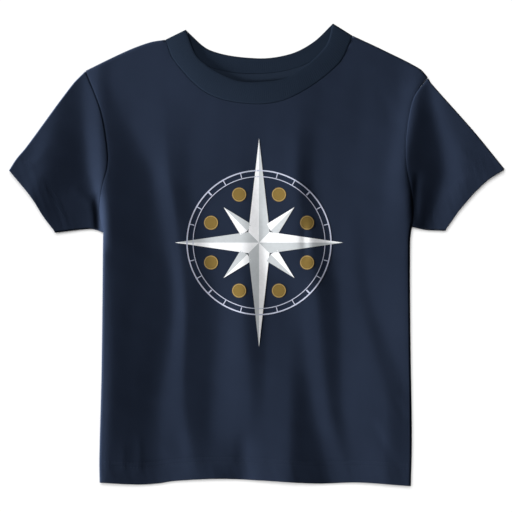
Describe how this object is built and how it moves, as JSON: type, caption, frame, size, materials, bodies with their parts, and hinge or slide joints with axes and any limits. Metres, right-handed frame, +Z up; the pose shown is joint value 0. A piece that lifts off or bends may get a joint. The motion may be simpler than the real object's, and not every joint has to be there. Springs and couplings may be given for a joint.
{
  "type": "toddler t-shirt laid flat",
  "caption": "Short-sleeved crew-neck jersey shirt for a toddler, laid flat with its front up, with a ribbed neckband, turned hems and a printed chest.",
  "frame": {"origin": "middle of the shirt's outline box, on the table that it lies on", "axes": "+X across the shirt towards the picture's right, which is the wearer's left sleeve, +Y up to the neck, and +Z up from the table, out of the front"},
  "size_m": [0.496, 0.463, 0.0064],
  "materials": {
    "jersey": "matt navy cotton single jersey, printed on the chest",
    "rib": "matt navy cotton one-by-one rib",
    "tape": "matt navy cotton jersey binding"
  },
  "bodies": {
    "root": {"front_panel": "jersey", "back_panel": "jersey", "left_sleeve": "jersey", "right_sleeve": "jersey", "neckband": "rib", "neck_tape": "tape"}
  },
  "joints": []
}
